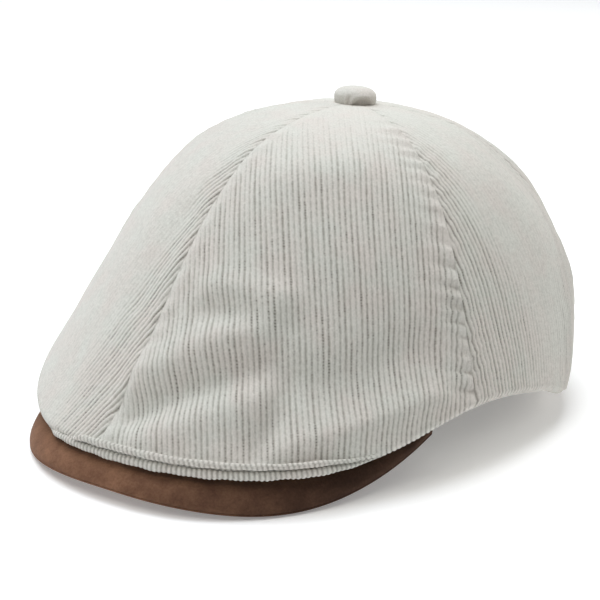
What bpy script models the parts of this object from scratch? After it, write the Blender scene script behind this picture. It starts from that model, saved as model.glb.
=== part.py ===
"""Newsboy cap: a six-panel corduroy crown over a suede duckbill visor.

Everything is modelled level, with the crown's button on the Z axis and the front at -Y, and
hangs from one empty, which tips the cap back a little and stands it on the ground.
"""

from math import acos, cos, exp, hypot, pi, radians, sin

import bmesh
import bpy
from mathutils import Vector

MM = 0.001

# Crown, seen from above: a superellipse that reaches further forward than back.
CROWN_HALF_WIDTH = 104 * MM
CROWN_FRONT = 153 * MM
CROWN_BACK = 93 * MM
FRONT_SQUARENESS = 2.15
BACK_SQUARENESS = 1.92
CROWN_HEIGHT = 123 * MM

# Crown profile, as (front, side, back): how far the flat top reaches, how far the lower wall
# stands out past the hem (less than 0 slopes in), and how high the fullest part sits.
TOP_REACH = (0.68, 0.74, 0.89)
WALL_BELLY = (-0.35, -0.09, 0.25)
BELLY_HEIGHT = (0.49, 0.48, 0.47)

# Hem: level at the front and back, and arched over the ears.
HEM_FRONT = 2.7 * MM
HEM_BACK = 4.4 * MM
EAR_ARCH = 18.7 * MM
EAR_ANGLE = 75.0
EAR_SPREAD = 24.0
HEM_ROLL = 4 * MM
WALL_SHARE = 0.72  # of the rows of faces, from the button to the hem
ROLL_SHARE = 0.4  # of the rows past the hem, in the rolled edge
FRONT_TURNING = 10 * MM
FRONT_TURNING_RISE = 2.5 * MM
FULL_TURNING = (48, 78)

# Seams, in degrees round from the front, and the panels between them.
SEAMS = (0, 70, 124, 180)
PANELS = ("front", "side", "back")
APEX_START = 0.03
SEAM_GAP = 0.4 * MM
LINING_CLEARANCE = 0.9 * MM
LINING_END = 0.93

# Head opening and sweatband.
HEAD_HALF_WIDTH = 80 * MM
HEAD_HALF_LENGTH = 96 * MM
HEAD_CENTRE_Y = -11 * MM
OPENING_HEIGHT = 7 * MM
OPENING_EAR_RISE = 9 * MM
OPENING_EAR_ANGLE = 88
OPENING_EAR_SPREAD = 26
BAND_HEIGHT = 30 * MM
BAND_CLEARANCE = 1.5 * MM

# Cloth and board.
CORDUROY = 2.0 * MM
SATIN = 0.6 * MM
BAND_CLOTH = 1.4 * MM
SUEDE = 1.0 * MM
BOARD = 1.8 * MM
GAP = 0.3 * MM
VISOR_THICKNESS = 2 * SUEDE + BOARD + 2 * GAP

# Visor: a superellipse crescent whose rim droops, with its tips under the crown's sides.
VISOR_HALF_WIDTH = 81 * MM
VISOR_CENTRE_Y = -57.5 * MM
VISOR_REACH = 101 * MM
VISOR_SQUARENESS = 2.34
VISOR_RIM_FRONT = -6.9 * MM
VISOR_RIM_RISE = 28.7 * MM
VISOR_RIM_ARCH = 14 * MM
VISOR_DROOP = 7 * MM
VISOR_ROOT_FRONT = 4 * MM
VISOR_ROOT_TURN = 0.66  # the root runs this share as far round as the rim
VISOR_TIP_ANGLE = 90.0
VISOR_TIP_SETBACK = 8.0  # degrees that the inner sheets stop short of the tips
VISOR_TIP_RISE = 1.5 * MM
VISOR_COLUMNS = 27
VISOR_ROWS = 11
VISOR_ROW_CROWDING = 1.5  # over 1 puts more rows near the rim

# Double welt on the front hem, and the covered button.
WELT_RADIUS = 1.7 * MM
WELT_END_ANGLE = 60.0
WELT_STEPS = 40
BUTTON_RADIUS = 9 * MM
BUTTON_HEIGHT = 6.5 * MM
BUTTON_LIFT = 0.4 * MM
BUTTON_EDGE = 1.6 * MM
BUTTON_WALL = 1.2 * MM
SHANK_RADIUS = 1.6 * MM
SHANK_END = 2 * MM
WASHER_RADIUS = 7 * MM
WASHER_THICKNESS = 1 * MM

TILT_BACK = 3.8
TINY = 0.01  # step for measuring a slope


# --- Shape laws -------------------------------------------------------------------------------


def signed_power(value, power):
    return abs(value) ** power if value >= 0 else -(abs(value) ** power)


def superellipse(angle, half_width, reach, squareness):
    """A point of the plan outline: angle 0 is the front, 90 degrees the wearer's left."""
    power = 2 / squareness
    return half_width * signed_power(sin(angle), power), -reach * signed_power(cos(angle), power)


def crown_plan(angle):
    if cos(angle) >= 0:
        return superellipse(angle, CROWN_HALF_WIDTH, CROWN_FRONT, FRONT_SQUARENESS)
    return superellipse(angle, CROWN_HALF_WIDTH, CROWN_BACK, BACK_SQUARENESS)


def round_the_crown(front_side_back, angle):
    """Passes smoothly through the three values as the angle goes from front to back."""
    front, side, back = front_side_back
    level = (front + back) / 4 + side / 2
    return level + (front - back) / 2 * cos(angle) + (level - side) * cos(2 * angle)


def degrees_from_front(angle):
    return acos(max(-1.0, min(1.0, cos(angle)))) * 180 / pi


def bump(degrees, centre, spread):
    return exp(-(((degrees - centre) / spread) ** 2))


def hem_height(angle):
    level = HEM_FRONT * (1 + cos(angle)) / 2 + HEM_BACK * (1 - cos(angle)) / 2
    return level + EAR_ARCH * bump(degrees_from_front(angle), EAR_ANGLE, EAR_SPREAD)


def opening_height(angle):
    ear = bump(degrees_from_front(angle), OPENING_EAR_ANGLE, OPENING_EAR_SPREAD)
    return OPENING_HEIGHT + OPENING_EAR_RISE * ear


def smooth_step(value, start, end):
    share = max(0.0, min(1.0, (value - start) / (end - start)))
    return share * share * (3 - 2 * share)


def crown_point(angle, down):
    """The crown's outer face: down runs from 0 at the button to 1 at the hem."""
    x, y = crown_plan(angle)
    hem = hem_height(angle) + HEM_ROLL
    reach = round_the_crown(TOP_REACH, angle)
    belly = round_the_crown(WALL_BELLY, angle)
    belly_height = hem + round_the_crown(BELLY_HEIGHT, angle) * (CROWN_HEIGHT - hem)
    top, upper, lower, end = (
        (1 - down) ** 3,
        3 * down * (1 - down) ** 2,
        3 * down**2 * (1 - down),
        down**3,
    )
    out = upper * reach + lower * (1 + belly) + end
    height = (top + upper) * CROWN_HEIGHT + lower * belly_height + end * hem
    return Vector((x * out, y * out, height))


def head_plan(angle, outside=0.0):
    """The head opening's edge in the crown's direction at this angle."""
    x, y = crown_plan(angle)
    y -= HEAD_CENTRE_Y
    half_width = HEAD_HALF_WIDTH + outside
    half_length = HEAD_HALF_LENGTH + outside
    scale = 1 / hypot(x / half_width, y / half_length)
    return x * scale, HEAD_CENTRE_Y + y * scale


def hem_point(angle, under):
    """The rolled edge and the turning under it: under runs from 0 at the wall to 1 inside."""
    x, y = crown_plan(angle)
    outward = Vector((x, y, 0)).normalized()
    hem = hem_height(angle)
    if under <= ROLL_SHARE:
        turn = under / ROLL_SHARE * pi / 2
        inward = HEM_ROLL * (1 - cos(turn))
        return Vector((x, y, hem + HEM_ROLL * (1 - sin(turn)))) - outward * inward
    start = Vector((x, y, hem)) - outward * HEM_ROLL
    front_end = start - outward * FRONT_TURNING + Vector((0, 0, FRONT_TURNING_RISE))
    head_x, head_y = head_plan(angle, BAND_CLOTH + BAND_CLEARANCE)
    full_end = Vector((head_x, head_y, opening_height(angle)))
    fullness = smooth_step(degrees_from_front(angle), *FULL_TURNING)
    end = front_end.lerp(full_end, fullness)
    return start.lerp(end, (under - ROLL_SHARE) / (1 - ROLL_SHARE))


# --- Building helpers --------------------------------------------------------------------------


def clear_scene():
    for old in list(bpy.data.objects):
        bpy.data.objects.remove(old, do_unlink=True)
    for old in list(bpy.data.collections):
        bpy.data.collections.remove(old)


def principled(name, colour, roughness, metallic=0.0):
    material = bpy.data.materials.new(name)
    material.use_nodes = True
    shader = material.node_tree.nodes["Principled BSDF"]
    shader.inputs["Base Color"].default_value = (*colour, 1.0)
    shader.inputs["Roughness"].default_value = roughness
    shader.inputs["Metallic"].default_value = metallic
    material.diffuse_color = (*colour, 1.0)
    return material


def add_part(name, data, material, home):
    part = bpy.data.objects.new(name, data)
    data.materials.append(material)
    home.objects.link(part)
    return part


def mapped_grid(name, across, along, place):
    """A grid mesh whose corners run from (0, 0) to (1, 1), moved to place(u, v)."""
    bm = bmesh.new()
    bmesh.ops.create_grid(bm, x_segments=across, y_segments=along, size=0.5)
    for vert in bm.verts:
        vert.co = place(vert.co.x + 0.5, vert.co.y + 0.5)
    mesh = bpy.data.meshes.new(name)
    bm.to_mesh(mesh)
    bm.free()
    mesh.shade_smooth()
    return mesh


def thicken(part, thickness, offset=-1.0):
    solid = part.modifiers.new("Thickness", "SOLIDIFY")
    solid.thickness = thickness
    solid.offset = offset


def swing(name, profile, steps, material, home):
    """A turned part: a half outline in the XZ plane, swung round Z by a Screw modifier."""
    bm = bmesh.new()
    verts = [bm.verts.new((x, 0, z)) for x, z in profile]
    for first, second in zip(verts, verts[1:]):
        bm.edges.new((first, second))
    mesh = bpy.data.meshes.new(name)
    bm.to_mesh(mesh)
    bm.free()
    screw = add_part(name, mesh, material, home).modifiers.new("Turn", "SCREW")
    screw.axis = "Z"
    screw.steps = steps
    screw.render_steps = steps
    screw.use_merge_vertices = True
    screw.merge_threshold = 0.00001


# --- Sub-parts ---------------------------------------------------------------------------------


def gores(kind, skin, thickness, across, along, material, home):
    """Six panels on one skin, mirrored left and right."""
    for side, sign in (("left", 1), ("right", -1)):
        for panel, start, end in zip(PANELS, SEAMS, SEAMS[1:]):
            name = f"{kind}_{panel}_{side}"
            mesh = mapped_grid(name, across, along, gore_place(skin, sign, start, end))
            if sign > 0:
                mesh.flip_normals()
            thicken(add_part(name, mesh, material, home), thickness)


def gore_place(skin, sign, start, end):
    """How a grid maps to the gore between two seams, drawn in by half the gap at each."""

    def place(u, v):
        angle = sign * radians(start + (end - start) * u)
        ahead = sign * (skin(angle + TINY, v) - skin(angle - TINY, v)).normalized()
        edge = smooth_step(0.5 - u, 0.3, 0.5) - smooth_step(u - 0.5, 0.3, 0.5)
        return skin(angle, v) + ahead * edge * SEAM_GAP / 2

    return place


def crown_skin(angle, along):
    if along <= WALL_SHARE:
        return crown_point(angle, APEX_START + (1 - APEX_START) * along / WALL_SHARE)
    return hem_point(angle, (along - WALL_SHARE) / (1 - WALL_SHARE))


def lining_skin(angle, along):
    """The satin lies inside the corduroy, from the button to just above the hem."""
    start = 1.4 * APEX_START
    down = start + (LINING_END - start) * along
    round_way = crown_point(angle + TINY, down) - crown_point(angle - TINY, down)
    down_way = crown_point(angle, down + TINY) - crown_point(angle, down - TINY)
    outward = down_way.cross(round_way).normalized()
    return crown_point(angle, down) - outward * (CORDUROY + LINING_CLEARANCE)


def visor_rim(angle):
    x, y = superellipse(angle, VISOR_HALF_WIDTH, VISOR_REACH, VISOR_SQUARENESS)
    across = x / VISOR_HALF_WIDTH
    back = 1 + y / VISOR_REACH
    height = VISOR_RIM_FRONT + VISOR_RIM_RISE * back - VISOR_RIM_ARCH * across**2
    return Vector((x, y + VISOR_CENTRE_Y, height))


def visor_root(angle):
    """The inner edge, along the head opening just outside the sweatband."""
    turn = angle * VISOR_ROOT_TURN
    outside = BAND_CLOTH + BAND_CLEARANCE
    x = (HEAD_HALF_WIDTH + outside) * sin(turn)
    y = HEAD_CENTRE_Y - (HEAD_HALF_LENGTH + outside) * cos(turn)
    tip = visor_rim(radians(VISOR_TIP_ANGLE)).z + VISOR_TIP_RISE
    return Vector((x, y, VISOR_ROOT_FRONT + (tip - VISOR_ROOT_FRONT) * sin(turn) ** 2))


def visor_surface(angle, inward, inset=0.0):
    """The visor's top face: inward runs from 0 at the rim, or the inset from it, to 1 at the root."""
    rim, root = visor_rim(angle), visor_root(angle)
    width = hypot(rim.x - root.x, rim.y - root.y)
    distance = inset + (width - inset) * inward**VISOR_ROW_CROWDING
    point = rim.lerp(root, distance / width)
    rise = (1 - exp(-distance / VISOR_DROOP)) / (1 - exp(-width / VISOR_DROOP))
    top_of_rim = rim.z + VISOR_THICKNESS
    point.z = top_of_rim + (root.z - top_of_rim) * rise
    return point


def visor_normal(angle, inward, inset):
    near = max(0.0, inward - TINY)
    across = visor_surface(angle + TINY, inward, inset) - visor_surface(angle - TINY, inward, inset)
    back = visor_surface(angle, near + 2 * TINY, inset) - visor_surface(angle, near, inset)
    return across.cross(back).normalized()


def visor_layer(name, inset, below, thickness, material, home):
    """One sheet of the visor, its top face this far below the visor's own."""

    def place(u, v):
        angle = radians(VISOR_TIP_ANGLE - VISOR_TIP_SETBACK) * (2 * u - 1)
        return visor_surface(angle, v, inset) - visor_normal(angle, v, inset) * below

    mesh = mapped_grid(name, VISOR_COLUMNS, VISOR_ROWS, place)
    thicken(add_part(name, mesh, material, home), thickness)


def visor_top_cover(material, home):
    """The top sheet, with one more row of faces that turns down over the rim."""
    name = "visor_top_cover"

    def place(u, v):
        angle = radians(VISOR_TIP_ANGLE) * (2 * u - 1)
        row = round(v * (VISOR_ROWS + 1))
        if row == 0:
            return visor_surface(angle, 0) - Vector((0, 0, VISOR_THICKNESS))
        return visor_surface(angle, (row - 1) / VISOR_ROWS)

    mesh = mapped_grid(name, VISOR_COLUMNS, VISOR_ROWS + 1, place)
    thicken(add_part(name, mesh, material, home), SUEDE)


def visor(suede, board, home):
    inner = SUEDE + 2 * GAP
    visor_top_cover(suede, home)
    visor_layer("visor_board", inner, inner, BOARD, board, home)
    visor_layer("visor_under_cover", inner, inner + BOARD + GAP, SUEDE, suede, home)


def sweatband(material, home):
    """A band round the head opening, its lower edge following the opening's height."""
    name = "sweatband"
    bm = bmesh.new()
    bmesh.ops.create_cone(bm, cap_ends=False, segments=64, radius1=1, radius2=1, depth=1)
    for vert in bm.verts:
        x = HEAD_HALF_WIDTH * vert.co.x
        y = HEAD_CENTRE_Y + HEAD_HALF_LENGTH * vert.co.y
        angle = acos(max(-1, min(1, -vert.co.y)))
        bottom = opening_height(angle)
        vert.co = (x, y, bottom + BAND_HEIGHT * (vert.co.z + 0.5))
    mesh = bpy.data.meshes.new(name)
    bm.to_mesh(mesh)
    bm.free()
    mesh.shade_smooth()
    thicken(add_part(name, mesh, material, home), BAND_CLOTH, offset=1.0)


def beside_the_hem(angle, above, clear):
    """A point clear of the crown's outer face, this far up along it from the roll's middle."""
    step = 0.004
    along = WALL_SHARE + (1 - WALL_SHARE) * ROLL_SHARE / 2
    climbed = 0.0
    while climbed < above:
        climbed += (crown_skin(angle, along - step) - crown_skin(angle, along)).length
        along -= step
    up = crown_skin(angle, along - step) - crown_skin(angle, along + step)
    round_way = crown_skin(angle + TINY, along) - crown_skin(angle - TINY, along)
    return crown_skin(angle, along) + round_way.cross(up).normalized() * clear


def front_welts(material, home):
    """Two corded rolls sewn along the outside of the front hem, one above the other."""
    for name, level in (("front_welt_lower", 0), ("front_welt_upper", 1)):
        curve = bpy.data.curves.new(name, "CURVE")
        curve.dimensions = "3D"
        curve.bevel_depth = WELT_RADIUS
        curve.bevel_resolution = 2
        curve.use_fill_caps = True
        spline = curve.splines.new("POLY")
        spline.points.add(WELT_STEPS)
        for index, point in enumerate(spline.points):
            angle = radians(WELT_END_ANGLE) * (2 * index / WELT_STEPS - 1)
            above = WELT_RADIUS + level * (2 * WELT_RADIUS + GAP)
            point.co = (*beside_the_hem(angle, above, WELT_RADIUS + GAP), 1.0)
        add_part(name, curve, material, home)


def dome(radius, low, high, steps):
    """A quarter outline from the axis at the height high down to the radius at low."""
    turns = [pi / 2 * (1 - step / steps) for step in range(steps + 1)]
    points = [(radius * cos(turn), low + (high - low) * sin(turn)) for turn in turns]
    return [(0.0, high)] + points[1:]


def button(cloth, metal, home):
    """A cloth-covered button: cover, hard core with its shank, and the washer inside."""
    base = CROWN_HEIGHT + BUTTON_LIFT
    top = base + BUTTON_HEIGHT
    hollow = BUTTON_RADIUS - BUTTON_WALL
    outside = dome(BUTTON_RADIUS, base + BUTTON_EDGE, top, 7)
    foot = [(BUTTON_RADIUS - BUTTON_EDGE / 2, base), (hollow, base)]
    inside = dome(hollow, base + BUTTON_EDGE, top - BUTTON_WALL, 5)[::-1]
    swing("button_cover", outside + foot + inside, 24, cloth, home)

    washer_top = CROWN_HEIGHT - CORDUROY - LINING_CLEARANCE - SATIN - 2 * GAP
    core = dome(hollow - GAP, base + BUTTON_EDGE, top - BUTTON_WALL - GAP, 4)
    core += [(hollow - GAP, base + GAP), (SHANK_RADIUS, base + GAP)]
    core += [(SHANK_RADIUS, washer_top - SHANK_END), (0.0, washer_top - SHANK_END)]
    swing("button_core", core, 16, metal, home)

    hole = SHANK_RADIUS + GAP
    low = washer_top - WASHER_THICKNESS
    washer = [(hole, washer_top), (WASHER_RADIUS, washer_top), (WASHER_RADIUS, low), (hole, low)]
    swing("button_washer", washer + washer[:1], 20, metal, home)


def stand_up(home):
    """Hangs every part from one empty, tips the cap back and stands it on the ground."""
    stand = bpy.data.objects.new("cap_stand", None)
    home.objects.link(stand)
    parts = [part for part in home.objects if part is not stand]
    for part in parts:
        part.parent = stand
    stand.rotation_euler.x = -radians(TILT_BACK)
    bpy.context.view_layer.update()
    graph = bpy.context.evaluated_depsgraph_get()
    corners = []
    for part in parts:
        evaluated = part.evaluated_get(graph)
        mesh = evaluated.to_mesh()
        corners += [evaluated.matrix_world @ vert.co for vert in mesh.vertices]
        evaluated.to_mesh_clear()
    low = [min(corner[axis] for corner in corners) for axis in range(3)]
    high = [max(corner[axis] for corner in corners) for axis in range(3)]
    stand.location = (-(low[0] + high[0]) / 2, -(low[1] + high[1]) / 2, -low[2])
    bpy.context.view_layer.update()


def main():
    clear_scene()
    home = bpy.data.collections.new("Newsboy cap")
    bpy.context.scene.collection.children.link(home)

    corduroy = principled("Ivory corduroy", (0.68, 0.65, 0.58), 0.9)
    satin = principled("Beige satin", (0.55, 0.47, 0.36), 0.4)
    band_cloth = principled("Sweatband cotton", (0.30, 0.24, 0.19), 0.85)
    suede = principled("Brown suede", (0.16, 0.08, 0.045), 0.95)
    board = principled("Visor board", (0.75, 0.74, 0.70), 0.5)
    metal = principled("Button metal", (0.62, 0.60, 0.56), 0.35, 1.0)

    gores("crown", crown_skin, CORDUROY, 8, 20, corduroy, home)
    gores("lining", lining_skin, SATIN, 6, 9, satin, home)
    visor(suede, board, home)
    sweatband(band_cloth, home)
    front_welts(corduroy, home)
    button(corduroy, metal, home)
    stand_up(home)


main()
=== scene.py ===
"""The looks of the newsboy cap: ivory corduroy crown, rolled hem, suede visor, covered button.

Everything is shaped in the crown's own frame, where the button is on the Z axis, the front is at
-Y and the hem is level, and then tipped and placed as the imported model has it. Lengths are in
metres and angles round the crown are in degrees from the front, positive to the wearer's left.
"""

from math import cos, pi, radians, sin

import bpy
import numpy as np
from mathutils import Matrix, Vector


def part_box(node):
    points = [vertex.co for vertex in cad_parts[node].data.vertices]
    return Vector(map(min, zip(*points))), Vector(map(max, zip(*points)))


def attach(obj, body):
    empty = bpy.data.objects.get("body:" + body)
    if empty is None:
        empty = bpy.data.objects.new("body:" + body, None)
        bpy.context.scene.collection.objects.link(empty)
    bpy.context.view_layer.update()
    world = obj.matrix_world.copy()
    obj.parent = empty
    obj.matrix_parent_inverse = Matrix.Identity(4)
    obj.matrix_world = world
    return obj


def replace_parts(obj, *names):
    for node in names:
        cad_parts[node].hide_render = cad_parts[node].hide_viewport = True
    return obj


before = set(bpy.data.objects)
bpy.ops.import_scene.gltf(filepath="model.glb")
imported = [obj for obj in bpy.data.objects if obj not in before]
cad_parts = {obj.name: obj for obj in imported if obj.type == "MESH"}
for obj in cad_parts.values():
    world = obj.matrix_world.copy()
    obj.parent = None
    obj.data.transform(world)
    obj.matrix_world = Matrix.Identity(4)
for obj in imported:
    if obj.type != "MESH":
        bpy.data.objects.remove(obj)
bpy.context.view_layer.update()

MM = 0.001

# The crown's shape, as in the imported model: plan, then (front, side, back) of its profile.
CROWN_HALF_WIDTH = 104 * MM
CROWN_FRONT = 153 * MM
CROWN_BACK = 93 * MM
FRONT_SQUARENESS = 2.15
BACK_SQUARENESS = 1.92
CROWN_HEIGHT = 123 * MM
TOP_REACH = (0.68, 0.74, 0.89)
WALL_BELLY = (-0.35, -0.09, 0.25)
BELLY_HEIGHT = (0.49, 0.48, 0.47)

# Its hem, which rises over the ears, rolls under and turns in to the head opening.
HEM_FRONT = 2.7 * MM
HEM_BACK = 4.8 * MM
EAR_ARCH = 18.7 * MM
HEM_SAG = 1.4 * MM
HEM_SAG_ANGLES = (-25, 54)
HEM_SAG_SPREAD = 11
BACK_CURL = 2.4 * MM
BACK_CURL_ANGLE = 112
BACK_CURL_SPREAD = 19
EAR_ANGLE = 75
EAR_SPREAD = 24
HEM_ROLL = 4 * MM
ROLL_SHARE = 0.4
FRONT_TURNING = 10 * MM
FRONT_TURNING_RISE = 2.5 * MM
FULL_TURNING = (48, 78)

# The head opening and the band round it.
HEAD_HALF_WIDTH = 80 * MM
HEAD_HALF_LENGTH = 96 * MM
HEAD_CENTRE_Y = -11 * MM
OPENING_HEIGHT = 7 * MM
OPENING_EAR_RISE = 9 * MM
OPENING_EAR_ANGLE = 88
OPENING_EAR_SPREAD = 26
BAND_CLOTH = 1.4 * MM
BAND_CLEARANCE = 1.5 * MM

# The visor's rim, and its root along the head opening.
VISOR_HALF_WIDTH = 81 * MM
VISOR_CENTRE_Y = -57.5 * MM
VISOR_REACH = 101 * MM
VISOR_SQUARENESS = 2.34
VISOR_RIM_FRONT = -6.9 * MM
VISOR_RIM_RISE = 28.7 * MM
VISOR_RIM_ARCH = 14 * MM
VISOR_SIDE_SAG = 2 * MM
VISOR_SAG_ANGLE = 50
VISOR_SAG_SPREAD = 24
VISOR_DROOP = 7 * MM
VISOR_ROOT_FRONT = 4 * MM
VISOR_ROOT_TURN = 0.66
VISOR_TIP_RISE = 1.5 * MM
VISOR_THICKNESS = 4.4 * MM
VISOR_LAYERS = 4.7 * MM

TILT_BACK = 3.8
WASHER_HEIGHT = 118.4 * MM  # the middle of the button's washer, on the crown's axis

# The corduroy.
WALE_PITCH = 2.2 * MM
WALE_DEPTH = 0.42 * MM
COLUMNS_PER_WALE = 6
ROW_LENGTH = 1.5 * MM
APEX_START = 0.012
SATIN_BELOW = 3.3 * MM

# The six panels: name, first and last seam, how far the wales drift sideways for each metre down,
# how much wider they are stretched towards the last seam, each seam's puckering, how far from the
# seam the wales keep their depth and painted groove shade before they flatten as painted light, and
# 1 where every second groove is caught in the seam and pulled deep.
GORES = (
    ("front_left", -4, 70, 0.155, 0.24, 1.3, 2.6, 200 * MM, 0),
    ("side_left", 70, 124, 0.0, 0.0, 1.5, 0.6, 36 * MM, 1),
    ("back_left", 124, 180, 0.0, 0.0, 0.6, 0.6, 70 * MM, 1),
    ("back_right", 180, 236, 0.0, 0.0, 0.6, 0.6, 70 * MM, 1),
    ("side_right", 236, 290, 0.0, 0.0, 0.6, 0.5, 60 * MM, 1),
    ("front_right", 290, 356, -0.155, 0.0, 0.7, 0.5, 24 * MM, 1),
)

# Slack folds: (angle, down) of both ends, half width, and how far the cloth stands out along the
# fold or, where negative, sinks in.
FOLDS = (
    # The front's long fold, from the front seam up to the wearer's left, and the hollow under it.
    ((0, 0.85), (24, 0.72), 9 * MM, 3.5 * MM),
    ((0, 0.93), (27, 0.79), 8 * MM, -3.5 * MM),
    # The swelling above the hem, and the steep hollow that ends it.
    ((4, 0.97), (26, 0.87), 8 * MM, 2.0 * MM),
    ((33, 0.82), (28, 0.97), 6 * MM, -2.5 * MM),
    # The bulge above the hem at the wearer's left, and the hollow over it.
    ((35, 0.97), (62, 0.95), 7 * MM, 3.0 * MM),
    ((38, 0.85), (60, 0.82), 9 * MM, -2.5 * MM),
    # A short fold half way up the front, and the hollow under it.
    ((8, 0.65), (28, 0.66), 6 * MM, 2.0 * MM),
    ((8, 0.71), (29, 0.72), 6 * MM, -2.0 * MM),
    # The shoulder below the button, and the soft hollow beside the front seam.
    ((18, 0.36), (44, 0.32), 12 * MM, 2.0 * MM),
    ((-13, 0.50), (-14, 0.72), 7 * MM, -1.3 * MM),
    # Flatter cloth at the two sides.
    ((-58, 0.74), (-62, 0.55), 14 * MM, -1.8 * MM),
    ((122, 0.40), (126, 0.56), 14 * MM, -1.5 * MM),
    # The back, where the cloth is slack.
    ((140, 0.75), (168, 0.84), 9 * MM, -1.0 * MM),
    ((196, 0.80), (225, 0.70), 9 * MM, -1.0 * MM),
    ((150, 0.45), (172, 0.55), 10 * MM, 1.0 * MM),
    ((215, 0.50), (245, 0.62), 10 * MM, 1.0 * MM),
)


# --- Where the crown stands -------------------------------------------------------------------


def crown_to_row():
    """The matrix from the crown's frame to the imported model's, from where the washer lies."""
    low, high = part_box("button_washer")
    tilt = Matrix.Rotation(-radians(TILT_BACK), 4, "X")
    shift = (low + high) / 2 - tilt @ Vector((0, 0, WASHER_HEIGHT))
    return Matrix.Translation(shift) @ tilt


TO_ROW = np.array(crown_to_row())


def in_row(points):
    return points @ TO_ROW[:3, :3].T + TO_ROW[:3, 3]


# --- The cap's shape, for arrays of angles in radians ------------------------------------------


def signed_power(value, power):
    return np.sign(value) * np.abs(value) ** power


def crown_plan(angle):
    front = np.cos(angle) >= 0
    power = 2 / np.where(front, FRONT_SQUARENESS, BACK_SQUARENESS)
    reach = np.where(front, CROWN_FRONT, CROWN_BACK)
    x = CROWN_HALF_WIDTH * signed_power(np.sin(angle), power)
    return x, -reach * signed_power(np.cos(angle), power)


def round_the_crown(front_side_back, angle):
    front, side, back = front_side_back
    level = (front + back) / 4 + side / 2
    return level + (front - back) / 2 * np.cos(angle) + (level - side) * np.cos(2 * angle)


def degrees_from_front(angle):
    return np.degrees(np.arccos(np.clip(np.cos(angle), -1, 1)))


def bump(value, centre, spread):
    return np.exp(-(((value - centre) / spread) ** 2))


def smooth_step(value, start, end):
    share = np.clip((value - start) / (end - start), 0, 1)
    return share * share * (3 - 2 * share)


def hem_height(angle):
    level = HEM_FRONT * (1 + np.cos(angle)) / 2 + HEM_BACK * (1 - np.cos(angle)) / 2
    turn = np.degrees(np.arctan2(np.sin(angle), np.cos(angle)))
    sag = HEM_SAG * sum(bump(turn, centre, HEM_SAG_SPREAD) for centre in HEM_SAG_ANGLES)
    return level - sag + EAR_ARCH * bump(degrees_from_front(angle), EAR_ANGLE, EAR_SPREAD)


def opening_height(angle):
    ear = bump(degrees_from_front(angle), OPENING_EAR_ANGLE, OPENING_EAR_SPREAD)
    return OPENING_HEIGHT + OPENING_EAR_RISE * ear


def wall_point(angle, down):
    """The crown's outer face: down runs from 0 at the button to 1 at the hem's roll."""
    x, y = crown_plan(angle)
    hem = hem_height(angle) + HEM_ROLL
    reach = round_the_crown(TOP_REACH, angle)
    belly = round_the_crown(WALL_BELLY, angle)
    belly_height = hem + round_the_crown(BELLY_HEIGHT, angle) * (CROWN_HEIGHT - hem)
    top, upper = (1 - down) ** 3, 3 * down * (1 - down) ** 2
    lower, end = 3 * down**2 * (1 - down), down**3
    out = upper * reach + lower * (1 + belly) + end
    height = (top + upper) * CROWN_HEIGHT + lower * belly_height + end * hem
    return np.stack([x * out, y * out, height], -1)


def head_point(angle, outside):
    """The edge of the head opening in the crown's direction at this angle."""
    x, y = crown_plan(angle)
    y = y - HEAD_CENTRE_Y
    scale = 1 / np.hypot(x / (HEAD_HALF_WIDTH + outside), y / (HEAD_HALF_LENGTH + outside))
    return np.stack([x * scale, HEAD_CENTRE_Y + y * scale, opening_height(angle)], -1)


def hem_point(angle, under):
    """The rolled edge and the turning under it: under runs from 0 at the wall to 1 inside."""
    x, y = crown_plan(angle)
    outward = np.stack([x, y, 0 * x], -1)
    outward /= np.linalg.norm(outward, axis=-1, keepdims=True)
    hem = hem_height(angle)
    turn = np.minimum(under / ROLL_SHARE, 1) * pi / 2
    inward = HEM_ROLL * (1 - np.cos(turn))
    rolled = np.stack([x, y, hem + HEM_ROLL * (1 - np.sin(turn))], -1) - outward * inward[..., None]
    front_end = rolled - outward * FRONT_TURNING
    front_end[..., 2] += FRONT_TURNING_RISE
    full_end = head_point(angle, BAND_CLOTH + BAND_CLEARANCE)
    fullness = smooth_step(degrees_from_front(angle), *FULL_TURNING)[..., None]
    end = front_end + (full_end - front_end) * fullness
    share = np.clip((under - ROLL_SHARE) / (1 - ROLL_SHARE), 0, 1)[..., None]
    return rolled + (end - rolled) * share


def skin(angle, along):
    """The crown's bare face: along runs to 1 at the hem's roll and to 2 at the turning's end."""
    wall = wall_point(angle, np.minimum(along, 1))
    return np.where((along > 1)[..., None], hem_point(angle, np.maximum(along - 1, 0)), wall)


def outward_normal(angle, along):
    before, after = np.maximum(along - 0.004, 0.004), along + 0.004
    across = skin(angle + 0.004, along) - skin(angle - 0.004, along)
    normal = np.cross(skin(angle, after) - skin(angle, before), across)
    return normal / (np.linalg.norm(normal, axis=-1, keepdims=True) + 1e-12)


def visor_rim(angle):
    power = 2 / VISOR_SQUARENESS
    x = VISOR_HALF_WIDTH * signed_power(np.sin(angle), power)
    y = -VISOR_REACH * signed_power(np.cos(angle), power)
    arch = VISOR_RIM_ARCH * (x / VISOR_HALF_WIDTH) ** 2
    height = VISOR_RIM_FRONT + VISOR_RIM_RISE * (1 + y / VISOR_REACH) - arch
    sag = VISOR_SIDE_SAG * bump(degrees_from_front(angle), VISOR_SAG_ANGLE, VISOR_SAG_SPREAD)
    return np.stack([x, y + VISOR_CENTRE_Y, height - sag], -1)


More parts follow.
